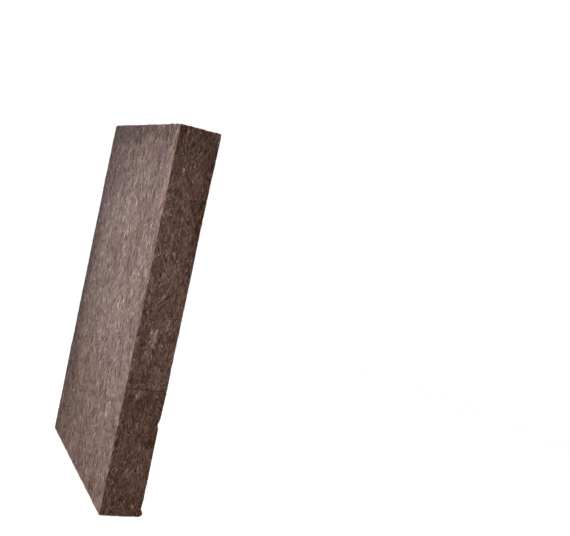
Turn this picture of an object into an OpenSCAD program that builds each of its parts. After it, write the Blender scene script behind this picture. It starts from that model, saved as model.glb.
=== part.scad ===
// Felted wool slab for holding cut flowers, standing on one short end.
// X runs through the thickness (front face at -X), Y across the width, Z up the length.
// The origin is the middle of the end face that the slab stands on.
// A cross cut from the back leaves only the front felt whole, so the slab folds open there.

/* [Slab] */
// Length of the slab, from the standing end to the top end
slab_length = 600; // [500:10:1000]
// Width across the two large faces
slab_width = 400; // [200:10:600]
// Thickness between the two large faces
slab_thickness = 65; // [40:1:100]

/* [Felt layers] */
// Thickness of the felted layer on each large face
felt_thickness = 3; // [2:0.5:6]
// Radius worn onto the long arrises of each felt layer
arris_radius = 1.5; // [0.5:0.25:2]

/* [Cross cut] */
// Height of the cross cut above the standing end
cut_height = 200; // [150:10:300]
// Width of the cut that the blade leaves through the core and the back felt
cut_width = 0.6; // [0.4:0.1:2]

/* [Edge damage] */
// Height of the chip torn from the back arris, below the cross cut
chip_height = 147; // [100:1:160]
// Depth of the chip into the thickness
chip_depth = 3.2; // [1:0.1:5]
// Length of the chip along the arris
chip_length = 14; // [8:1:20]
// How far the chip reaches across the back face from the sawn side
chip_reach = 14; // [5:1:40]

/* [Hidden] */
$fn = 48;

half_width = slab_width / 2;
half_thickness = slab_thickness / 2;
core_thickness = slab_thickness - 2 * felt_thickness;
// A circle with this radius has the chip's length as its chord and its depth as the rise.
chip_radius = (pow(chip_length / 2, 2) + pow(chip_depth, 2)) / (2 * chip_depth);
// Length of the block above the cut, measured over the part that the blade has parted
parted_length = slab_length - cut_height - cut_width;

// Cross-section of a felt layer: its inner face lies on x = 0 and its outer arrises are worn round.
module felt_section() {
    union() {
        translate([0, -half_width])
            square([felt_thickness - arris_radius, slab_width]);
        translate([0, arris_radius - half_width])
            square([felt_thickness, slab_width - 2 * arris_radius]);
        for (side = [-1, 1])
            translate([felt_thickness - arris_radius, side * (half_width - arris_radius)])
                circle(r = arris_radius);
    }
}

// A felt layer from one height to another, on the front (-1) or the back (+1) of the core.
module felt_layer(face, bottom, height) {
    translate([face * core_thickness / 2, 0, bottom])
        mirror([face < 0 ? 1 : 0, 0, 0])
            linear_extrude(height = height)
                felt_section();
}

module core_block(bottom, height) {
    translate([-core_thickness / 2, -half_width, bottom])
        cube([core_thickness, slab_width, height]);
}

// The scoop that a torn tuft leaves in the back arris of the near sawn side.
module arris_chip() {
    translate([half_thickness + chip_radius - chip_depth, -half_width - 1, chip_height])
        rotate([-90, 0, 0])
            cylinder(h = chip_reach + 1, r = chip_radius);
}

module short_core() {
    color("#533f37")
        difference() {
            core_block(0, cut_height);
            arris_chip();
        }
}

module short_front_felt() {
    color("#816c67")
        felt_layer(-1, 0, cut_height);
}

module short_back_felt() {
    color("#7a665f")
        difference() {
            felt_layer(1, 0, cut_height);
            arris_chip();
        }
}

module long_core() {
    color("#533f37")
        core_block(cut_height + cut_width, parted_length);
}

// The front felt runs down to the cut height, where it meets the short block's felt unparted.
module long_front_felt() {
    color("#816c67")
        felt_layer(-1, cut_height, slab_length - cut_height);
}

module long_back_felt() {
    color("#7a665f")
        felt_layer(1, cut_height + cut_width, parted_length);
}

short_core();
short_front_felt();
short_back_felt();
long_core();
long_front_felt();
long_back_felt();
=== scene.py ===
"""The looks of a felted wool slab for cut flowers, built round its packed CAD frame.

Shapes are worked out in millimetres in the frame's own axes: X through the thickness, Y across
the width and Z up the length. Every surface is a relief of laid fibres: each fibre is drawn on a
fine grid over its face, and the grid gives the mesh its height, tone and tint.
"""

import math
from types import SimpleNamespace

import bpy
import numpy as np
from mathutils import Matrix, Vector


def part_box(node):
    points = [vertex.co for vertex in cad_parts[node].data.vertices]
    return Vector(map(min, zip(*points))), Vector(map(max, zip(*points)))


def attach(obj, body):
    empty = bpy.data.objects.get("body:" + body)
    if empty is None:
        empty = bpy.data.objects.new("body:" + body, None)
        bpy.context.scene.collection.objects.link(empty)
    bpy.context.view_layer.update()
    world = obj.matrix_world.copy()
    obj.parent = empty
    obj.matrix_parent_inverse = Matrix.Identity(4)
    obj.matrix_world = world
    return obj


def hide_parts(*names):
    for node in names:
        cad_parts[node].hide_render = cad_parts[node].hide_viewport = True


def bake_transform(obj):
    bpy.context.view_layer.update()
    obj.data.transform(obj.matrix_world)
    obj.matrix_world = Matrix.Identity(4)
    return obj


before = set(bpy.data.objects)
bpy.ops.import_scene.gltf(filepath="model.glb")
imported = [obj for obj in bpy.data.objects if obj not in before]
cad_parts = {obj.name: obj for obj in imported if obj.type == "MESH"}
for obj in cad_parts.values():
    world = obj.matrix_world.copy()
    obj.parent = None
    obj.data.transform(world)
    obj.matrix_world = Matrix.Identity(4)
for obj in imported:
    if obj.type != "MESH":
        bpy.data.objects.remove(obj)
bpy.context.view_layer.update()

MM = 0.001

# Each face of a block: the axis of its normal, its direction, and the axes of its u and v.
FACES = {
    "near": (1, -1, 0, 2),
    "far": (1, 1, 0, 2),
    "front": (0, -1, 1, 2),
    "back": (0, 1, 1, 2),
    "top": (2, 1, 0, 1),
    "bottom": (2, -1, 0, 1),
}

# Grid steps of the meshes, in mm
SIDE_STEP = 0.8
LENGTH_STEP = 0.95
END_STEP = 1.5
FELT_LENGTH_STEP = 1.2
FELT_STEP = 1.7
FELT_EDGE_STEP = 0.9
FELT_EDGE_BAND = 6.0
FELT_LAYERS = 4

# Radii of the worn arrises, in mm
ARRIS_RADIUS = 1.5
END_RADIUS = 1.3
CUT_RADIUS = 0.35

TINT_TURN_SHARE = 0.626  # the wool below this share of the slab's height is browner, and above it cooler


# ---------------------------------------------------------------- places from the frame


def box_mm(*nodes):
    """The lowest and highest corner of some CAD nodes, in mm."""
    corners = np.array([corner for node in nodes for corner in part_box(node)]) / MM
    return corners.min(0), corners.max(0)


slab_low, slab_high = box_mm(*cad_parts)
core_low, core_high = box_mm("short_core")
cut_bottom = core_high[2]
cut_top = box_mm("long_core")[0][2]
cut_middle = (cut_bottom + cut_top) / 2


# ---------------------------------------------------------------- noise and fibre relief

NOISE_REACH = 700.0  # noise tables cover this far on each side of the origin, in mm


def between(table, i, j, a, b):
    """Values of a table at places i and j, blended by the shares a and b with the next ones."""
    low = table[i, j] * (1 - a) + table[i + 1, j] * a
    high = table[i, j + 1] * (1 - a) + table[i + 1, j + 1] * a
    return low * (1 - b) + high * b


def soft_noise(u, v, cell_u, cell_v, seed):
    """Smooth values from -1 to 1 over points (u, v), in lumps about one cell across."""
    size = (int(2 * NOISE_REACH / cell_u) + 2, int(2 * NOISE_REACH / cell_v) + 2)
    table = np.random.default_rng(seed).uniform(-1, 1, size)
    i, j = (u + NOISE_REACH) / cell_u, (v + NOISE_REACH) / cell_v
    i_low, j_low = np.floor(i).astype(int), np.floor(j).astype(int)
    a, b = i - i_low, j - j_low
    return between(table, i_low, j_low, a * a * (3 - 2 * a), b * b * (3 - 2 * b))


def blurred(grid, radius):
    """The grid averaged over a square that reaches radius cells each way."""
    for axis in (0, 1):
        total = grid.copy()
        for k in range(1, radius + 1):
            total += np.roll(grid, k, axis) + np.roll(grid, -k, axis)
        grid = total / (2 * radius + 1)
    return grid


TIGHT_CURL = (0.15, 0.4)  # how sharply the few looped fibres turn, in radians per mm
WAVE_SHARE = (0.4, 1.1)  # the length of a fibre's crimp wave, as a share of the fibre's own


def fibre_paths(rng, middle, heading, length, wool, steps):
    """Points along curved, crimped fibres through their middles: u and v, each (fibre, step)."""
    count = len(length)
    s = np.linspace(-0.5, 0.5, steps) * length[:, None]
    curl = rng.normal(0, wool.curl, (count, 1))
    tight = rng.random((count, 1)) < wool.loops
    curl = np.where(tight, np.sign(curl) * rng.uniform(*TIGHT_CURL, (count, 1)), curl)
    wave = rng.uniform(*WAVE_SHARE, (count, 1)) * length[:, None]
    start = rng.uniform(0, 2 * math.pi, (count, 1))
    turn = heading[:, None] + curl * s + wool.crimp * np.sin(2 * math.pi * s / wave + start)
    stride = length[:, None] / (steps - 1)
    u, v = np.cumsum(np.cos(turn), 1) * stride, np.cumsum(np.sin(turn), 1) * stride
    half = steps // 2
    u += middle[:, :1] - u[:, half : half + 1]
    v += middle[:, 1:] - v[:, half : half + 1]
    return u, v


# How the fibres lie on each kind of face. Lengths are in mm, angles in radians from u to v, and
# flecks are the paler fibres.
SAWN = SimpleNamespace(
    pitch=0.35, density=0.5, length=(4, 14), half_width=(0.2, 0.55), depth=1.7,
    heading=math.pi / 2, scatter=0.26, swirl=0.5, swirl_cell=(14, 26),
    curl=0.045, loops=0.06, crimp=0.38, lump=0.4, lump_cell=(9, 17),
    tone_spread=0.18, patch=0.065, patch_cell=(10, 24), mottle=0.07, mottle_cell=(3.5, 7),
    flecks=0.14, fleck_length=0.6, fleck_tone=(0.1, 0.48),
    tint_spread=0.5, tint_patch=0.45, height_tinting=1.2,
)
CUT = SimpleNamespace(**{**vars(SAWN), "depth": 0.28, "lump": 0.0, "density": 0.2})
FELTED = SimpleNamespace(
    pitch=0.7, density=0.34, length=(6, 20), half_width=(0.3, 1.0), depth=0.9,
    heading=math.pi / 2, scatter=0.5, swirl=0.35, swirl_cell=(40, 60),
    curl=0.025, loops=0.02, crimp=0.25, lump=0.4, lump_cell=(28, 60),
    tone_spread=0.18, patch=0.065, patch_cell=(30, 90), mottle=0.09, mottle_cell=(5, 10),
    flecks=0.07, fleck_length=0.9, fleck_tone=(0.08, 0.28),
    tint_spread=0.35, tint_patch=0.25, height_tinting=2.05,
)


GROUND_SHADE_TONE = 0.1  # the tone where no fibre lies: painted shade in the gaps between fibres
DEEP_TONE = 0.3  # the mean tone of the deepest fibres
DEPTH_SHADE_TONE = 0.3  # painted shade: how much paler the highest fibres are than the deepest
RIDGE_LIGHT_AND_HOLLOW_SHADE = 0.22  # painted light and shade: how much paler a ridge is than its surroundings, and a hollow darker
ACROSS = (-0.85, -0.45, 0.0, 0.45, 0.85)  # where a fibre is drawn over its width, in half widths
FIBRE_BULGE = 0.5  # how far a fibre's middle line stands over its sides, as a share of its radius
END_DIP = 0.45  # how far a fibre's ends sink, as a share of its level
RELIEF_BLUR = 4  # cells each way over which the surroundings of a ridge are averaged
TRUE_PERCENTILE = 40  # this share of a face lies below the true plane of its box


class Canvas:
    """Fibres laid over one face: their height in mm, tone and tint, on a fine grid."""

    margin = 6.0  # the grid reaches this far past the face, in mm

    def __init__(self, low, high, wool, seed, marks_and_painted_shade=()):
        self.low = np.array(low, float) - self.margin
        self.pitch, self.height_tinting = wool.pitch, wool.height_tinting
        self.shape = tuple(((np.array(high) + self.margin - self.low) / wool.pitch).astype(int) + 2)
        self.height = np.full(self.shape, -wool.depth)
        self.tone = np.full(self.shape, GROUND_SHADE_TONE)
        self.tint = np.zeros(self.shape)
        self.lay(wool, seed, marks_and_painted_shade)
        # Painted light and shade: ridges of fibres are made paler, and hollows darker, than the wool
        # round them
        broad = blurred(blurred(self.height, RELIEF_BLUR), RELIEF_BLUR)
        self.tone += RIDGE_LIGHT_AND_HOLLOW_SHADE * np.clip((self.height - broad) / wool.depth, -1, 1)
        self.height = blurred(self.height, 1)
        u, v = self.grid()
        self.height += wool.lump * soft_noise(u, v, *wool.lump_cell, seed + 3)
        self.height -= np.percentile(self.height, TRUE_PERCENTILE)

    def grid(self):
        """The u and v of every cell's middle."""
        u = self.low[0] + (np.arange(self.shape[0]) + 0.5) * self.pitch
        v = self.low[1] + (np.arange(self.shape[1]) + 0.5) * self.pitch
        return np.meshgrid(u, v, indexing="ij")

    def lay(self, wool, seed, marks_and_painted_shade):
        """Chooses the fibres of the face, and draws them."""
        rng = np.random.default_rng(seed)
        reach = np.array(self.shape) * self.pitch
        count = int(wool.density * reach[0] * reach[1])
        middle = self.low + rng.random((count, 2)) * reach
        swirl = wool.swirl * soft_noise(middle[:, 0], middle[:, 1], *wool.swirl_cell, seed + 1)
        heading = wool.heading + swirl + rng.normal(0, wool.scatter, count)
        length = rng.uniform(*wool.length, count)
        fleck = rng.random(count) < wool.flecks
        length[fleck] *= wool.fleck_length
        thin, thick = wool.half_width
        radius = thin + (thick - thin) * rng.random((count, 1)) ** 2
        level = rng.random(count)
        # Deeper fibres are darker: painted shade
        tone = DEEP_TONE + DEPTH_SHADE_TONE * level + rng.normal(0, wool.tone_spread, count)
        tone += fleck * rng.uniform(*wool.fleck_tone, count)
        tone += wool.patch * soft_noise(middle[:, 0], middle[:, 1], *wool.patch_cell, seed + 2)
        tone += wool.mottle * soft_noise(middle[:, 0], middle[:, 1], *wool.mottle_cell, seed + 5)
        tint = rng.normal(0, wool.tint_spread, count)
        tint += wool.tint_patch * soft_noise(middle[:, 1], middle[:, 0], *wool.patch_cell, seed + 4)
        for u, v, radius_u, radius_v, lighter, redder in marks_and_painted_shade:
            away = ((middle[:, 0] - u) / radius_u) ** 2 + ((middle[:, 1] - v) / radius_v) ** 2
            # Each fibre takes from none to twice of the mark's lightness, or of its darkness where the
            # mark is painted shade
            tone += lighter * np.exp(-away) * rng.uniform(0, 2, count)
            tint += redder * np.exp(-away)
        steps = int(wool.length[1] / wool.pitch) + 2
        u, v = fibre_paths(rng, middle, heading, length, wool, steps)
        dip = 1 - END_DIP * np.linspace(-1, 1, steps) ** 2
        self.draw(u, v, radius, wool.depth * (level[:, None] * dip - 1), tone, tint)

    def draw(self, u, v, radius, middle_height, tone, tint):
        """Draws round fibres along their paths. At each cell the highest one shows."""
        along_u, along_v = np.gradient(u, axis=1), np.gradient(v, axis=1)
        size = np.hypot(along_u, along_v)
        number = np.broadcast_to(np.arange(len(u))[:, None], u.shape)
        cells, heights, which = [], [], []
        for side in ACROSS:
            i = (u - along_v / size * side * radius - self.low[0]) / self.pitch
            j = (v + along_u / size * side * radius - self.low[1]) / self.pitch
            height = middle_height + FIBRE_BULGE * radius * math.sqrt(1 - side * side)
            inside = (i >= 0) & (j >= 0) & (i < self.shape[0]) & (j < self.shape[1])
            cells.append(i[inside].astype(int) * self.shape[1] + j[inside].astype(int))
            heights.append(height[inside])
            which.append(number[inside])
        cells, heights, which = (np.concatenate(parts) for parts in (cells, heights, which))
        order = np.argsort(heights, kind="stable")
        cells, which = cells[order], which[order]
        self.height.flat[cells] = heights[order]
        self.tone.flat[cells] = tone[which]
        self.tint.flat[cells] = tint[which]

    def sample(self, field, u, v):
        """The field between its grid's cells, at points u and v."""
        i = np.clip((u - self.low[0]) / self.pitch - 0.5, 0, self.shape[0] - 1.001)
        j = np.clip((v - self.low[1]) / self.pitch - 0.5, 0, self.shape[1] - 1.001)
        i_low, j_low = i.astype(int), j.astype(int)
        return between(field, i_low, j_low, i - i_low, j - j_low)


# Tufts, patches and painted shade on each block's near sawn side: x, z, reach in x and z, lighter,
# redder
LONG_TUFTS_AND_PAINTED_SHADE = [
    (-1, 299, 4, 9, 0.22, 0.0),
    (-4, 281, 3.2, 9, 0.8, 1.4),
    (-10, 288, 3, 4, 0.5, 1.4),
    (-6, 268, 3, 8, 0.2, 0.3),
    (9, 299, 5, 5, 0.2, -0.2),
    (-10, 258, 5, 10, 0.22, 0.0),
    (14, 210, 6, 8, 0.22, 0.0),
    (-1, 500, 4, 4, 0.2, 0.1),
    (-6, 585, 5, 6, 0.16, 0.0),
    (-14, 558, 7, 9, 0.0, 0.9),
    (9, 476, 7, 15, 0.14, -0.5),
    (16, 434, 4, 12, 0.16, 0.0),
    (-22, 377, 7, 16, 0.04, 0.9),
    (0, 375, 40, 24, 0.05, 0.0),
    # Painted shade along the back edge
    (20, 560, 14, 40, -0.1, 0.1),
    # Painted shade along the top
    (-12, 590, 40, 26, -0.16, 0.5),
    (-20, 465, 14, 32, 0.12, -0.8),
    # Painted shade and painted reddish bounce light of a neighbouring box along the back edge
    (28, 465, 10, 75, -0.22, 1.3),
    (24, 300, 10, 90, 0.05, 0.3),
]
SHORT_TUFTS_AND_PAINTED_SHADE = [
    (-11, 192, 5, 7, 0.17, 0.8),
    (9, 108, 3, 6, 0.26, 0.0),
    (22, 14, 6, 8, 0.04, 1.0),
    (-6, 174, 40, 22, -0.12, 0.0),
    (24, 125, 12, 25, -0.13, 0.3),
    (-8, 125, 9, 20, 0.04, -0.5),
    (8, 70, 20, 20, 0.05, 0.0),
    # Painted shade along the foot, which is also redder
    (0, 18, 40, 20, -0.05, 0.7),
]
# Slow patches and painted shade of the felted front face: y, z, reach in y and z, lighter, redder
FRONT_PATCHES_AND_PAINTED_SHADE = [
    # Painted shade along the top
    (0, 600, 400, 36, -0.22, 0.1),
    # Painted shade down the side farthest from the key light
    (200, 330, 50, 300, -0.22, 0.0),
    (0, 455, 60, 50, 0.12, 0.0),
    (80, 390, 60, 90, 0.06, -0.5),
    (-190, 380, 45, 250, 0.0, 0.35),
    (110, 535, 80, 60, -0.1, 0.0),
    (-60, 300, 110, 210, 0.04, 0.0),
    (190, 560, 60, 60, -0.05, 0.0),
    (190, 130, 70, 90, -0.1, 0.3),
    (85, 90, 50, 110, -0.08, 0.0),
    (-90, 130, 45, 100, 0.045, 0.0),
    (-185, 60, 40, 80, -0.05, 0.5),
    (0, 50, 300, 90, 0.0, 0.9),
]


def face_canvas(name, low, high, wool, seed, marks_and_painted_shade=()):
    """The canvas of one face of a box from low to high."""
    _, _, u, v = FACES[name]
    return Canvas((low[u], low[v]), (high[u], high[v]), wool, seed, marks_and_painted_shade)


def make_block(low, high, cut_face, seed, near_marks_and_painted_shade, shared):
    """A block's box and the canvases of its six faces. Its cut face is fine and almost flat."""
    end_face = "bottom" if cut_face == "top" else "top"
    canvases = {
        "near": face_canvas("near", low, high, SAWN, seed, near_marks_and_painted_shade),
        "far": face_canvas("far", low, high, SAWN, seed + 10),
        end_face: face_canvas(end_face, low, high, SAWN, seed + 20),
        cut_face: face_canvas(cut_face, low, high, CUT, seed + 30),
        **shared,
    }
    return SimpleNamespace(low=low, high=high, cut_face=cut_face, canvases=canvases)


# The large faces were felted before the blade cut the slab, so both blocks share their canvases.
large_faces = {
    "front": face_canvas("front", slab_low, slab_high, FELTED, 500, FRONT_PATCHES_AND_PAINTED_SHADE),
    "back": face_canvas("back", slab_low, slab_high, FELTED, 600),
}
short_high = np.array([slab_high[0], slab_high[1], cut_bottom])
long_low = np.array([slab_low[0], slab_low[1], cut_top])
short_block = make_block(slab_low, short_high, "top", 100, SHORT_TUFTS_AND_PAINTED_SHADE, large_faces)
long_block = make_block(long_low, slab_high, "bottom", 200, LONG_TUFTS_AND_PAINTED_SHADE, large_faces)


# ---------------------------------------------------------------- worn shape


def hump(distance, reach):
    """1 at no distance, falling smoothly to nothing past the reach."""
    return np.exp(-((distance / reach) ** 2))


def rise(value, start, reach):
    """0 up to the start, then rising evenly to 1 over the reach."""
    return np.clip((value - start) / reach, 0, 1)


def waves(u, v, height, cell_u, cell_v, seed):
    """Soft noise over points (u, v), up to a height each way."""
    return height * soft_noise(u, v, cell_u, cell_v, seed)


# Marks on the near back arris: their height, how far they bulge, and their reach below and above
ARRIS_MARKS = (
    (147.0, -2.3, 4.0, 7.5),  # the torn chip
    (15.0, -1.2, 5.5, 5.5),  # the dent over the lump
    (4.5, 2.4, 5.0, 5.0),  # the lump at the foot
)
ARRIS_REACH = 12.0  # the marks reach this far in from the near side and from the core's back face
ARRIS_RISE = 15.0  # and grow to their full amount over this much of x


def arris_wear(x, y, z):
    """How far in x the marks on the near back arris move each point."""
    in_x = rise(x, core_high[0] - ARRIS_REACH, ARRIS_RISE)
    in_y = hump(y - slab_low[1], ARRIS_REACH)
    bulge = np.zeros_like(z)
    for height, amount, below, above in ARRIS_MARKS:
        bulge += amount * hump(z - height, np.where(z > height, above, below))
    return in_x * in_y * bulge


FOOT_REACH = 14.0  # the standing end's wear fades out at this height
FOOT_WEAR = 1.1  # the mean wear of the standing end
FOOT_WAVES = (0.7, 11, 17, 13)  # its unevenness: height, cells along x and y, and seed
FOOT_RIPPLES = (0.4, 5, 6, 14)
# Its near back part stays lowest: that part's reach from the near side, and its start and rise in x
LOW_REACH = 40
LOW_RISE = (-12, 30)
# The very corner of that part is worn away, over the same kinds of reach, start and rise
CORNER_WEAR = 2.4
CORNER_REACH = 10
CORNER_RISE = (28.5, 5)


def foot_wear(x, y, z):
    """How far up the uneven standing end lies."""
    from_near = y - slab_low[1]
    uneven = FOOT_WEAR + waves(x, y, *FOOT_WAVES) + waves(x, y, *FOOT_RIPPLES)
    uneven -= FOOT_WEAR * hump(from_near, LOW_REACH) * rise(x, *LOW_RISE)
    uneven += CORNER_WEAR * hump(from_near, CORNER_REACH) * rise(x, *CORNER_RISE) ** 2
    return (1 - rise(z, 0, FOOT_REACH)) * uneven


CUT_CLOSING = 0.22  # how far each face of the cut moves in beside the front felt
CUT_FRONT = (5, 20)  # it starts this far in front of the middle, and is whole this much further on
CUT_BAND = (1.5, 3)  # it is whole this near to the cut, and fades out over this much more


def cut_wear(x, z):
    """How far in z the cut's faces draw together towards the felt that the blade left whole."""
    above = z - cut_middle
    near_cut = 1 - rise(np.abs(above), *CUT_BAND)
    return -np.sign(above) * CUT_CLOSING * rise(-x, *CUT_FRONT) * near_cut


HEAD_REACH = 10.0  # the top end's wear fades out this far below it
# Slow waves: their height, the cells that they run over, and their seed
HEAD_WAVES = (0.35, 15, 30, 15)  # of the top end
FACE_WAVES = (0.5, 95, 130, 11)  # of the large faces
SIDE_WAVES = (0.35, 60, 45, 12)  # of the sawn sides


def slab_wear(points):
    """Moves points as the real slab strays from a true box, in waves, chips and uneven ends."""
    x, y, z = points.T
    moved = points.copy()
    moved[:, 0] += waves(y, z, *FACE_WAVES) + arris_wear(x, y, z)
    moved[:, 1] += waves(x, z, *SIDE_WAVES) * np.abs(y) / slab_high[1]
    moved[:, 2] += rise(z, slab_high[2] - HEAD_REACH, HEAD_REACH) * waves(x, y, *HEAD_WAVES)
    moved[:, 2] += foot_wear(x, y, z) + cut_wear(x, z)
    return moved


# Small pits in the felted front face: y, z, depth, reach in y and z
PINHOLES = (
    (-105, 156, 3.5, 2.4, 3.4),
    (40, 92, 0.9, 1.8, 2.4),
    (-48, 430, 0.9, 1.8, 2.4),
    (121, 318, 0.9, 1.8, 2.4),
    (-150, 505, 0.9, 1.8, 2.4),
)
PIT_SHADE = 0.35  # painted shade: how much darker a pit is for each mm of its depth


def pit_depth(face, u, v):
    """How deep the pinholes are at points u and v of a face."""
    depth = np.zeros_like(u)
    if face == "front":
        for y, z, deepest, reach_y, reach_z in PINHOLES:
            depth += deepest * hump(u - y, reach_y) * hump(v - z, reach_z)
    return depth


PAST_CUT = 50.0  # the front felt has no edge at the cut, so its box is taken this far past it


def rounded(points, block, cut_edges):
    """Points of a block's true box, moved onto its worn arrises, and their outward directions."""
    radius_low = np.array([ARRIS_RADIUS, ARRIS_RADIUS, END_RADIUS])
    radius_high = radius_low.copy()
    low, high = block.low.copy(), block.high.copy()
    at_cut, limit = (radius_high, high) if block.cut_face == "top" else (radius_low, low)
    at_cut[2] = CUT_RADIUS
    if not cut_edges:
        limit[2] += PAST_CUT if block.cut_face == "top" else -PAST_CUT
    inner = np.clip(points, low + radius_low, high - radius_high)
    radius = np.where(points < inner, radius_low, radius_high)
    outward = (points - inner) / radius
    outward /= np.maximum(np.linalg.norm(outward, axis=1, keepdims=True), 1e-9)
    return inner + outward * radius, outward


def wool_surface(points, block, cut_edges=True):
    """Where points of a block's true box lie on its worn, fibrous surface.

    Returns the moved points, their outward directions, tone and tint. cut_edges is False for the
    front felt, which runs on whole past the cut.
    """
    moved, outward = rounded(points, block, cut_edges)
    tone, tint = np.zeros(len(points)), np.zeros(len(points))
    for name, (axis, side, axis_u, axis_v) in FACES.items():
        weight = np.clip(side * outward[:, axis], 0, 1) ** 2
        on = weight > 1e-6
        if not on.any():
            continue
        canvas, share = block.canvases[name], weight[on]
        u, v = points[on, axis_u], points[on, axis_v]
        pit = pit_depth(name, u, v)
        height = canvas.sample(canvas.height, u, v) - pit
        moved[on, axis] += side * share * height
        # Pits are darkened by their depth: painted shade
        tone[on] += share * (canvas.sample(canvas.tone, u, v) - PIT_SHADE * pit)
        # The wool's tint shifts with height: browner towards the standing end, and cooler above
        height_tint = canvas.height_tinting * (TINT_TURN_SHARE - points[on, 2] / slab_high[2])
        tint[on] += share * (canvas.sample(canvas.tint, u, v) + height_tint)
    moved = slab_wear(moved)
    moved[:, 2] = np.maximum(moved[:, 2], 0)
    return moved, outward, tone, tint


def uncut_surface(points):
    """wool_surface for the front felt, where each point belongs to the block at its height."""
    lower = points[:, 2] < cut_middle
    found = [np.zeros_like(points), np.zeros_like(points), *np.zeros((2, len(points)))]
    for part, block in ((lower, short_block), (~lower, long_block)):
        for whole, values in zip(found, wool_surface(points[part], block, cut_edges=False)):
            whole[part] = values
    return found


# ---------------------------------------------------------------- meshes


def even(low, high, step):
    """Grid lines from low to high, about one step apart."""
    return np.linspace(low, high, max(2, round((high - low) / step) + 1))


def graded(low, high, edge_step, middle_step, band):
    """Grid lines that are closer together in a band at each end."""
    first = even(low, low + band, edge_step)
    middle = even(low + band, high - band, middle_step)
    last = even(high - band, high, edge_step)
    return np.concatenate([first[:-1], middle, last[1:]])


def make_mesh(name, points, polygons, materials, slots, place, tone, tint):
    """A smooth mesh from points in mm and arrays of polygons, with its wool attributes."""
    mesh = bpy.data.meshes.new(name)
    sizes = np.concatenate([np.full(len(p), p.shape[1]) for p in polygons])
    corners = np.concatenate([p.ravel() for p in polygons])
    mesh.vertices.add(len(points))
    mesh.loops.add(len(corners))
    mesh.polygons.add(len(sizes))
    mesh.vertices.foreach_set("co", (points * MM).astype(np.float32).ravel())
    mesh.loops.foreach_set("vertex_index", corners.astype(np.int32))
    starts = np.concatenate([[0], np.cumsum(sizes)[:-1]])
    mesh.polygons.foreach_set("loop_start", starts.astype(np.int32))
    for material in materials:
        mesh.materials.append(material)
    mesh.polygons.foreach_set("material_index", np.asarray(slots, np.int32))
    mesh.polygons.foreach_set("use_smooth", np.ones(len(sizes), bool))
    mesh.update(calc_edges=True)
    values = mesh.attributes.new("wool_place", "FLOAT_VECTOR", "POINT").data
    values.foreach_set("vector", (place * MM).astype(np.float32).ravel())
    for label, field in (("wool_tone", tone), ("wool_tint", tint)):
        values = mesh.attributes.new(label, "FLOAT", "POINT").data
        values.foreach_set("value", field.astype(np.float32))
    mesh.validate()
    piece = bpy.data.objects.new(name, mesh)
    bpy.context.scene.collection.objects.link(piece)
    return piece


def box_shell(lines, hidden):
    """The skin of a box on grid lines (xs, ys, zs), as points, polygons and a face name for each.

    hidden names the front or back sides that lie against another layer. They are closed by wide
    strips, which need no points of their own.
    """
    counts = [len(line) for line in lines]
    index = np.indices(counts)
    on_skin = np.zeros(counts, bool)
    for axis in range(3):
        on_skin |= (index[axis] == 0) | (index[axis] == counts[axis] - 1)
    inside_y = (index[1] > 0) & (index[1] < counts[1] - 1)
    inside_z = (index[2] > 0) & (index[2] < counts[2] - 1)
    for name in hidden:
        side = 0 if FACES[name][1] < 0 else counts[0] - 1
        on_skin &= ~((index[0] == side) & inside_y & inside_z)
    ids = np.full(counts, -1)
    ids[on_skin] = np.arange(on_skin.sum())
    points = np.stack([lines[axis][index[axis][on_skin]] for axis in range(3)], 1)
    polygons, names = [], []
    for name, (axis, side, _, _) in FACES.items():
        skin = np.take(ids, 0 if side < 0 else counts[axis] - 1, axis)
        turned = (side > 0) != (axis == 1)
        for part in strips(skin) if name in hidden else [grid_quads(skin)]:
            polygons.append(part if turned else part[:, ::-1])
            names += [name] * len(part)
    return points, polygons, names


def grid_quads(ids):
    """One quad for each cell of a grid of point numbers."""
    quads = np.stack([ids[:-1, :-1], ids[1:, :-1], ids[1:, 1:], ids[:-1, 1:]], -1)
    return quads.reshape(-1, 4)


def strips(ids, end_rows=6):
    """Polygons right across a grid of point numbers, of which only the border has points."""
    last = ids.shape[1] - 1
    far = last - end_rows
    first_end = [*ids[:, 0], *ids[-1, 1 : end_rows + 1], *ids[0, end_rows:0:-1]]
    rows = np.arange(end_rows, far)
    middle = np.stack([ids[0, rows], ids[-1, rows], ids[-1, rows + 1], ids[0, rows + 1]], 1)
    last_end = [ids[0, far], *ids[-1, far:last], *ids[::-1, last], *ids[0, last - 1 : far : -1]]
    return [np.array([first_end]), middle, np.array([last_end])]


def wool_piece(name, lines, hidden, block=None):
    """One layer as a closed fibrous mesh, on the grid lines of its true box.

    With no block it is the front felt, which both blocks share.
    """
    points, polygons, names = box_shell(lines, hidden)
    moved, _, tone, tint = wool_surface(points, block) if block else uncut_surface(points)
    felted = {"front", "back"} - set(hidden)
    slots = [int(face in felted) for face in names]
    return make_mesh(name, moved, polygons, [SAWN_WOOL, FELTED_WOOL], slots, points, tone, tint)


TUBE_SIDES = 3


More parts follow.
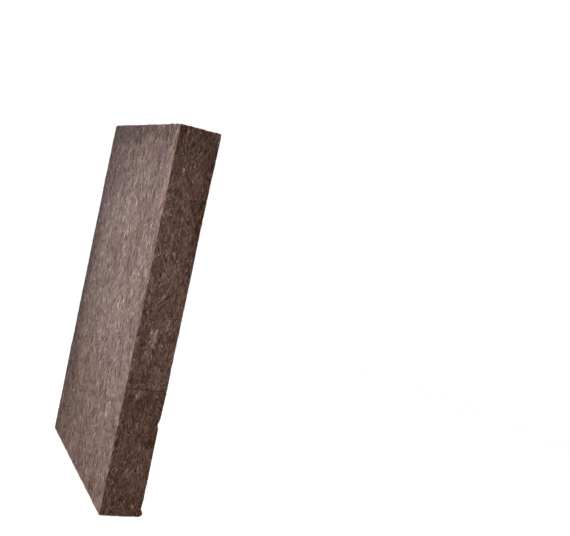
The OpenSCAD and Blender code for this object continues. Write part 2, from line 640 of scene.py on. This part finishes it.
def tube_points(routes, radius):
    """Points of a thin tube round each route: its start, a ring at each inner step, and its end."""
    count, steps, _ = routes.shape
    along = np.gradient(routes, axis=1)
    along /= np.maximum(np.linalg.norm(along, axis=2, keepdims=True), 1e-9)
    guide = np.where(np.abs(along[..., 2:3]) < 0.9, [0.0, 0.0, 1.0], [1.0, 0.0, 0.0])
    side = np.cross(along, guide)
    side /= np.linalg.norm(side, axis=2, keepdims=True)
    other = np.cross(side, along)
    taper = np.sqrt(1 - np.linspace(-1, 1, steps) ** 2)[1:-1, None] * radius[:, None, None]
    corners = []
    for k in range(TUBE_SIDES):
        angle = 2 * math.pi * k / TUBE_SIDES
        spoke = math.cos(angle) * side[:, 1:-1] + math.sin(angle) * other[:, 1:-1]
        corners.append(routes[:, 1:-1] + taper * spoke)
    rings = np.stack(corners, 2).reshape(count, -1, 3)
    return np.concatenate([routes[:, :1], rings, routes[:, -1:]], 1)


def tube_faces(count, per_tube):
    """The side quads and the end triangles of some tubes, each with per_tube points."""
    ring = np.arange(1, per_tube - 1, TUBE_SIDES)
    here, ahead = ring[:-1], ring[1:]
    quads, tips = [], []
    for k in range(TUBE_SIDES):
        following = (k + 1) % TUBE_SIDES
        quads.append(np.stack([here + k, ahead + k, ahead + following, here + following], 1))
        tips.append([0, 1 + k, 1 + following])
        tips.append([per_tube - 1, ring[-1] + following, ring[-1] + k])
    first = np.arange(count)[:, None, None] * per_tube
    return (first + np.concatenate(quads)).reshape(-1, 4), (first + np.array(tips)).reshape(-1, 3)


def fibre_mesh(name, fibres, material):
    """Loose fibres as closed, three-sided tubes with pointed ends."""
    routes, radius, place, tone, tint = fibres
    points = tube_points(routes, radius)
    count, per_tube, _ = points.shape
    polygons = tube_faces(count, per_tube)
    slots = np.zeros(sum(len(part) for part in polygons))
    spread = [np.repeat(values, per_tube, 0) for values in (place, tone, tint)]
    return make_mesh(name, points.reshape(-1, 3), polygons, [material], slots, *spread)


LOOSE_STEPS = 7  # points along a loose fibre
LOOSE_LENGTH = 0.8  # its length, as a share of a laid fibre's
LOOSE_SCATTER = 0.3  # how much more its heading varies than a laid fibre's, in radians
LOOSE_RADIUS = (0.08, 0.24)  # in mm
LOOSE_TONE = (0.06, 0.12)  # how much paler it is than the wool under it: mean and spread
LOOSE_PALEST = 0.8  # its highest tone, unless it is in a tuft
LOOSE_TINT = 0.3  # how much its tint varies
ROOT_DEPTH = 0.12  # how deep its ends sit in the wool, in mm
FACE_INSET = 0.3  # it keeps this far inside the edges of its face, in mm
TUFT_THICKNESS = 2  # a tuft's fibres are strands this many times as thick


def loose_layout(rng, low, high, count, wool, tuft):
    """Middles, headings and lengths of loose fibres, all over a face or gathered in a tuft."""
    if tuft:
        length = rng.uniform(*tuft.length, count)
        middle = tuft.middle + rng.normal(0, 1, (count, 2)) * tuft.reach
        heading = rng.normal(tuft.heading, tuft.scatter, count)
    else:
        length = rng.uniform(*wool.length, count) * LOOSE_LENGTH
        middle = low + rng.random((count, 2)) * (high - low)
        heading = wool.heading + rng.normal(0, wool.scatter + LOOSE_SCATTER, count)
    return middle, heading, length


def loose_fibres(rng, face, block, count, wool, lift, tuft=None):
    """Loose fibres on one face: routes (fibre, step, 3), radius, place, tone and tint.

    With no block they lie on the front felt, which both blocks share. A tuft gathers them round
    one place on the face.
    """
    axis, side, *across = FACES[face]
    low, high = (block.low, block.high) if block else (slab_low, slab_high)
    layout = loose_layout(rng, low[across], high[across], count, wool, tuft)
    steps, half = LOOSE_STEPS, LOOSE_STEPS // 2
    flat = np.zeros((count * steps, 3))
    flat[:, axis] = (high if side > 0 else low)[axis]
    for line, values in zip(across, fibre_paths(rng, *layout, wool, steps)):
        flat[:, line] = np.clip(values.ravel(), low[line] + FACE_INSET, high[line] - FACE_INSET)
    surface, outward, tone, tint = wool_surface(flat, block) if block else uncut_surface(flat)
    arch = rng.uniform(*lift, (count, 1)) * (1 - np.linspace(-1, 1, steps) ** 2) - ROOT_DEPTH
    routes = surface.reshape(count, steps, 3) + outward.reshape(count, steps, 3) * arch[..., None]
    radius = rng.uniform(*LOOSE_RADIUS, count)
    tone = tone.reshape(count, steps)[:, half] + rng.normal(*LOOSE_TONE, count)
    tone = np.minimum(tone, LOOSE_PALEST)
    tint = tint.reshape(count, steps)[:, half] + rng.normal(0, LOOSE_TINT, count)
    if tuft:
        radius, tone = TUFT_THICKNESS * radius, rng.uniform(*tuft.tone, count)
    return routes, radius, flat.reshape(count, steps, 3)[:, half], tone, tint


def joined(parts):
    """Several groups of loose fibres as one."""
    return [np.concatenate(values) for values in zip(*parts)]


# ---------------------------------------------------------------- materials

RAMP_SHARE = 0.8  # tone 1 lies this far along the colour ramps, which leaves room for bright specks

# Each tone of a fibre: its brightness against the base colour, and how far its hue goes to the pale one
TONES = (
    (0.0, 0.12, -0.2),
    (0.25, 0.45, -0.15),
    (0.5, 1.0, 0.0),
    (0.75, 1.9, 0.55),
    (1.0, 3.2, 1.0),
    (1.25, 6.0, 1.05),
)


def tones(base, pale):
    """Ramp stops for one base colour: deeper below the middle, brighter and paler above it."""
    match = sum(base) / sum(pale)
    stops = []
    for position, level, share in TONES:
        colour = [part + share * (other * match - part) for part, other in zip(base, pale)]
        stops.append((position * RAMP_SHARE, [level * part for part in colour]))
    return stops


def add_node(tree, kind, inputs=None, **settings):
    """A shader node with its settings and the values of its unlinked inputs."""
    node = tree.nodes.new(kind)
    for key, value in settings.items():
        setattr(node, key, value)
    for key, value in (inputs or {}).items():
        node.inputs[key].default_value = value
    return node


def attribute(tree, name, output):
    """A mesh attribute, as the vector or the single value that the output names."""
    return add_node(tree, "ShaderNodeAttribute", attribute_name=name).outputs[output]


def maths(tree, operation, first, second):
    """A Math node's value. first is a socket, and second a socket or a number."""
    node = add_node(tree, "ShaderNodeMath", operation=operation)
    tree.links.new(first, node.inputs[0])
    if isinstance(second, (int, float)):
        node.inputs[1].default_value = second
    else:
        tree.links.new(second, node.inputs[1])
    return node.outputs[0]


def noise(tree, place, scale, stretch=(1, 1, 1), turn=(0, 0, 0), detail=3.0, distortion=0.0):
    """Noise from about -0.5 to 0.5 over the slab's own places."""
    mapping = add_node(tree, "ShaderNodeMapping", {"Scale": stretch, "Rotation": turn})
    tree.links.new(place, mapping.inputs["Vector"])
    values = {"Scale": scale, "Detail": detail, "Distortion": distortion}
    node = add_node(tree, "ShaderNodeTexNoise", values)
    tree.links.new(mapping.outputs[0], node.inputs["Vector"])
    return maths(tree, "SUBTRACT", node.outputs[0], 0.5)


def ramp(tree, factor, stops):
    """A colour ramp over stops of (position, colour)."""
    node = add_node(tree, "ShaderNodeValToRGB")
    elements = node.color_ramp.elements
    while len(elements) < len(stops):
        elements.new(0.5)
    for element, (position, colour) in zip(elements, stops):
        element.position = position
        element.color = (*colour, 1)
    tree.links.new(factor, node.inputs[0])
    return node.outputs[0]


def mixed(tree, factor, first, second):
    """The colour that lies between two others."""
    node = add_node(tree, "ShaderNodeMix", data_type="RGBA")
    tree.links.new(factor, node.inputs[0])
    tree.links.new(first, node.inputs[6])
    tree.links.new(second, node.inputs[7])
    return node.outputs[2]


TINT_SHARE = 0.3  # how far a tint of 1 moves the hue from halfway towards the warm colours
HAIR_TURNS = ((0.25, 0.2, 0.0), (-0.4, -0.3, 0.0))  # two sets of fine hairs cross at these turns
HUE_TURN = (0.1, 0.1, 0.9)  # the slow drift of hue is turned away from the slab's axes
ROUGHNESS = 0.9
ROUGHNESS_SPREAD = 0.2  # how far the speckle moves the roughness
SPECULAR = 0.25
SHEEN_ROUGHNESS = 0.6
BUMP_STRENGTH = 0.7


def wool_material(name, look):
    """Fibrous wool: tone and tint come from the laid fibres, with finer noise over them."""
    material = bpy.data.materials.new(name)
    material.use_nodes = True
    tree = material.node_tree
    shader = tree.nodes["Principled BSDF"]
    place = attribute(tree, "wool_place", "Vector")
    tone = attribute(tree, "wool_tone", "Fac")
    tint = attribute(tree, "wool_tint", "Fac")
    broad = noise(tree, place, look.broad_scale, look.stretch, detail=2.0)
    speckle = noise(tree, place, look.speckle_scale, detail=4.0, distortion=0.6)
    hairs, crossing = (
        noise(tree, place, look.hair_scale, look.hair_stretch, turn, distortion=0.4)
        for turn in HAIR_TURNS
    )
    hairs = maths(tree, "MAXIMUM", hairs, crossing)
    for field, share in ((broad, look.broad), (speckle, look.speckle), (hairs, look.hair)):
        tone = maths(tree, "ADD", tone, maths(tree, "MULTIPLY", field, share))
    hue = noise(tree, place, look.hue_scale, look.stretch, HUE_TURN, detail=2.0)
    tint = maths(tree, "MULTIPLY", tint, TINT_SHARE)
    tint = maths(tree, "ADD", tint, maths(tree, "MULTIPLY", hue, look.hue))
    tint = maths(tree, "ADD", tint, 0.5)
    tone = maths(tree, "MULTIPLY", tone, RAMP_SHARE)
    colour = mixed(tree, tint, ramp(tree, tone, look.cool), ramp(tree, tone, look.warm))
    tree.links.new(colour, shader.inputs["Base Color"])
    rough = maths(tree, "MULTIPLY", speckle, ROUGHNESS_SPREAD)
    rough = maths(tree, "ADD", rough, ROUGHNESS)
    tree.links.new(rough, shader.inputs["Roughness"])
    shader.inputs["Specular IOR Level"].default_value = SPECULAR
    shader.inputs["Sheen Weight"].default_value = look.sheen
    shader.inputs["Sheen Roughness"].default_value = SHEEN_ROUGHNESS
    relief = {"Strength": BUMP_STRENGTH, "Distance": look.bump_mm * MM}
    bump = add_node(tree, "ShaderNodeBump", relief)
    tree.links.new(maths(tree, "ADD", hairs, speckle), bump.inputs["Height"])
    tree.links.new(bump.outputs[0], shader.inputs["Normal"])
    return material


# The hues of the palest fibres
SAWN_PALE = (1.0, 0.7, 0.57)
FELTED_PALE = (1.0, 0.77, 0.7)

# Noise scales are per metre. broad, speckle and hair are how far each noise moves the tone, and
# hue is how far its own noise moves the hue.
SAWN_WOOL = wool_material("sawn_wool", SimpleNamespace(
    broad_scale=26.0, broad=0.14, speckle_scale=620.0, speckle=0.45, hue_scale=60.0, hue=1.8,
    hair_scale=620.0, hair_stretch=(1.0, 1.0, 0.2), hair=0.5, sheen=0.02, bump_mm=0.5,
    stretch=(1.0, 1.0, 0.6),
    cool=tones((0.089, 0.0465, 0.0372), SAWN_PALE),
    warm=tones((0.1066, 0.0455, 0.0251), SAWN_PALE),
))
# The felted wool is paler and greyer than the sawn wool: partly the felt's own colour, partly painted
# sheen and painted light
FELTED_WOOL = wool_material("felted_wool", SimpleNamespace(
    broad_scale=22.0, broad=0.1, speckle_scale=480.0, speckle=0.35, hue_scale=26.0, hue=1.95,
    hair_scale=700.0, hair_stretch=(1.0, 1.0, 0.2), hair=0.3, sheen=0.06, bump_mm=0.4,
    stretch=(1.0, 1.0, 0.3),
    cool=tones((0.121, 0.0753, 0.0738), FELTED_PALE),
    warm=tones((0.1436, 0.0773, 0.0547), FELTED_PALE),
))


# ---------------------------------------------------------------- the slab's pieces

side_lines = even(core_low[0], core_high[0], SIDE_STEP)
short_rows = even(slab_low[2], cut_bottom, LENGTH_STEP)
long_rows = even(cut_top, slab_high[2], LENGTH_STEP)
short_felt_rows = even(slab_low[2], cut_bottom, FELT_LENGTH_STEP)
long_felt_rows = even(cut_top, slab_high[2], FELT_LENGTH_STEP)
end_columns = even(slab_low[1], slab_high[1], END_STEP)
felt_columns = graded(slab_low[1], slab_high[1], FELT_EDGE_STEP, FELT_STEP, FELT_EDGE_BAND)
front_lines = np.linspace(slab_low[0], core_low[0], FELT_LAYERS + 1)
back_lines = np.linspace(core_high[0], slab_high[0], FELT_LAYERS + 1)

short_core = wool_piece(
    "short_core_wool", (side_lines, end_columns, short_rows), ("front", "back"), short_block
)
long_core = wool_piece(
    "long_core_wool", (side_lines, end_columns, long_rows), ("front", "back"), long_block
)
short_back = wool_piece(
    "short_back_felt_wool", (back_lines, felt_columns, short_felt_rows), ("front",), short_block
)
long_back = wool_piece(
    "long_back_felt_wool", (back_lines, felt_columns, long_felt_rows), ("front",), long_block
)
front_felt = wool_piece(
    "front_felt_wool",
    (front_lines, felt_columns, np.concatenate([short_felt_rows, long_felt_rows])),
    ("back",),
)

# How far loose fibres arch off each kind of face, in mm
SAWN_LIFT = (0.2, 1.2)
CUT_LIFT = (0.0, 0.25)
FELTED_LIFT = (0.1, 0.9)

# Two tufts of pale fibres stand out of the near sawn side, one above the other
LOWER_TUFT = SimpleNamespace(
    count=34, middle=(-4, 282), reach=(2.0, 6.0), heading=1.25, scatter=0.3,
    length=(4, 9), lift=(0.4, 1.4), tone=(1.1, 1.6),
)
UPPER_TUFT = SimpleNamespace(
    count=22, middle=(6, 299), reach=(4.0, 3.5), heading=0.95, scatter=0.2,
    length=(4, 9), lift=(0.3, 1.2), tone=(0.9, 1.3),
)

FIBRE_SEED = 77
rng = np.random.default_rng(FIBRE_SEED)
short_fibres = fibre_mesh("short_block_fibres", joined([
    loose_fibres(rng, "near", short_block, 1300, SAWN, SAWN_LIFT),
    loose_fibres(rng, "far", short_block, 1300, SAWN, SAWN_LIFT),
    loose_fibres(rng, "top", short_block, 1200, CUT, CUT_LIFT),
    loose_fibres(rng, "back", short_block, 1300, FELTED, FELTED_LIFT),
]), SAWN_WOOL)
long_fibres = fibre_mesh("long_block_fibres", joined([
    loose_fibres(rng, "near", long_block, 2600, SAWN, SAWN_LIFT),
    loose_fibres(rng, "far", long_block, 2600, SAWN, SAWN_LIFT),
    loose_fibres(rng, "top", long_block, 1300, SAWN, SAWN_LIFT),
    *(loose_fibres(rng, "near", long_block, tuft.count, SAWN, tuft.lift, tuft)
      for tuft in (LOWER_TUFT, UPPER_TUFT)),
]), SAWN_WOOL)
long_back_fibres = fibre_mesh("long_back_fibres", joined([
    loose_fibres(rng, "back", long_block, 2600, FELTED, FELTED_LIFT),
]), FELTED_WOOL)
front_fibres = fibre_mesh("front_felt_fibres", joined([
    loose_fibres(rng, "front", None, 5000, FELTED, FELTED_LIFT),
]), FELTED_WOOL)

for piece, body, slot in (
    (short_core, "short_block", "sawn_core"),
    (short_back, "short_block", "felted_face"),
    (short_fibres, "short_block", "sawn_core"),
    (long_core, "long_block", "sawn_core"),
    (long_back, "long_block", "felted_face"),
    (long_fibres, "long_block", "sawn_core"),
    (long_back_fibres, "long_block", "felted_face"),
):
    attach(piece, body)
for piece in (front_felt, front_fibres):
    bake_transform(piece)
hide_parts("short_core")
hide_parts("long_core")
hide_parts("short_back_felt")
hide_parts("long_back_felt")
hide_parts("short_front_felt", "long_front_felt")


# ---------------------------------------------------------------- camera, light and floor

# Places and sizes in this section are in metres
WHITE = (1, 1, 1, 1)
CAMERA_PLACE = (-0.3818, -1.3275, 0.5005)
CAMERA_HEADING = 26.66  # degrees from +Y towards +X
CAMERA_PITCH = -3.63
CAMERA_ROLL = 12.42  # the slab leans in the picture, and stands true in the frame
CAMERA_LENS = 50.04


def make_camera():
    """The camera at the picture's viewing angle."""
    camera = bpy.data.objects.new("camera", bpy.data.cameras.new("camera"))
    camera.data.lens = CAMERA_LENS
    turn = Matrix.Rotation(math.radians(-CAMERA_HEADING), 4, "Z")
    tilt = Matrix.Rotation(math.radians(90 + CAMERA_PITCH), 4, "X")
    roll = Matrix.Rotation(math.radians(CAMERA_ROLL), 4, "Z")
    camera.matrix_world = Matrix.Translation(CAMERA_PLACE) @ turn @ tilt @ roll
    bpy.context.scene.collection.objects.link(camera)
    bpy.context.scene.camera = camera


def soft_light(name, place, target, size, power, colour=(1.0, 1.0, 1.0)):
    """A round soft light at a place, aimed at a target."""
    light = bpy.data.lights.new(name, "AREA")
    light.shape = "DISK"
    light.size = size
    light.energy = power
    light.color = colour
    lamp = bpy.data.objects.new(name, light)
    lamp.location = place
    lamp.visible_camera = False
    aim = Vector(target) - Vector(place)
    lamp.rotation_euler = aim.to_track_quat("-Z", "Y").to_euler()
    bpy.context.scene.collection.objects.link(lamp)


def make_world(ambient, backdrop):
    """Even light from all round, with a whiter backdrop behind the object."""
    world = bpy.data.worlds.new("studio")
    bpy.context.scene.world = world
    world.use_nodes = True
    tree = world.node_tree
    lit = tree.nodes["Background"]
    lit.inputs["Color"].default_value = WHITE
    lit.inputs["Strength"].default_value = ambient
    seen = add_node(tree, "ShaderNodeBackground", {"Color": WHITE, "Strength": backdrop})
    ray = add_node(tree, "ShaderNodeLightPath")
    mix = add_node(tree, "ShaderNodeMixShader")
    tree.links.new(ray.outputs["Is Camera Ray"], mix.inputs[0])
    tree.links.new(lit.outputs[0], mix.inputs[1])
    tree.links.new(seen.outputs[0], mix.inputs[2])
    tree.links.new(mix.outputs[0], tree.nodes["World Output"].inputs["Surface"])


FLOOR_SIDES = 96
FLOOR_GREY = (0.5, 0.5, 0.5, 1)
FLOOR_ROUGHNESS = 0.9


def floor_material(fade, lift):
    """A pale floor that fades into the backdrop between the two fade radii.

    lift is how much whiter it looks to the camera than it is, so that only soft shadows show.
    """
    material = bpy.data.materials.new("pale_floor")
    material.use_nodes = True
    tree = material.node_tree
    shader = tree.nodes["Principled BSDF"]
    shader.inputs["Base Color"].default_value = FLOOR_GREY
    shader.inputs["Roughness"].default_value = FLOOR_ROUGHNESS
    shader.inputs["Emission Color"].default_value = WHITE
    ray = add_node(tree, "ShaderNodeLightPath")
    lifted = maths(tree, "MULTIPLY", ray.outputs["Is Camera Ray"], lift)
    tree.links.new(lifted, shader.inputs["Emission Strength"])
    place = add_node(tree, "ShaderNodeTexCoord").outputs["Object"]
    distance = add_node(tree, "ShaderNodeVectorMath", operation="LENGTH")
    tree.links.new(place, distance.inputs[0])
    rim_fade = add_node(tree, "ShaderNodeMapRange", {"From Min": fade[0], "From Max": fade[1]})
    tree.links.new(distance.outputs["Value"], rim_fade.inputs["Value"])
    clear = add_node(tree, "ShaderNodeBsdfTransparent")
    mix = add_node(tree, "ShaderNodeMixShader")
    tree.links.new(rim_fade.outputs[0], mix.inputs[0])
    tree.links.new(shader.outputs[0], mix.inputs[1])
    tree.links.new(clear.outputs[0], mix.inputs[2])
    tree.links.new(mix.outputs[0], tree.nodes["Material Output"].inputs["Surface"])
    return material


def make_floor(radius, material):
    """A round floor under the object."""
    mesh = bpy.data.meshes.new("floor")
    angles = [2 * math.pi * k / FLOOR_SIDES for k in range(FLOOR_SIDES)]
    rim = [(radius * math.cos(a), radius * math.sin(a), 0) for a in angles]
    mesh.from_pydata(rim, [], [range(len(rim))])
    mesh.materials.append(material)
    floor = bpy.data.objects.new("floor", mesh)
    bpy.context.scene.collection.objects.link(floor)


make_camera()
make_world(ambient=0.36, backdrop=1.0)
make_floor(radius=3.0, material=floor_material(fade=(0.5, 1.8), lift=0.72))
slab_middle = (0, 0, 0.36)
cool_white = (0.97, 0.98, 1.0)
soft_light("key", (-0.72, -0.22, 0.42), (0, -0.22, 0.42), size=0.45, power=5.98, colour=cool_white)
soft_light("fill", (-0.05, -0.8, 0.37), (0, 0, 0.37), size=0.4, power=1.42)
soft_light("back_fill", (1.1, 0.5, 0.8), slab_middle, size=0.8, power=6)
soft_light("overhead", (0.3, 0, 1.9), slab_middle, size=1.6, power=12)
bpy.context.scene.view_settings.view_transform = "Standard"
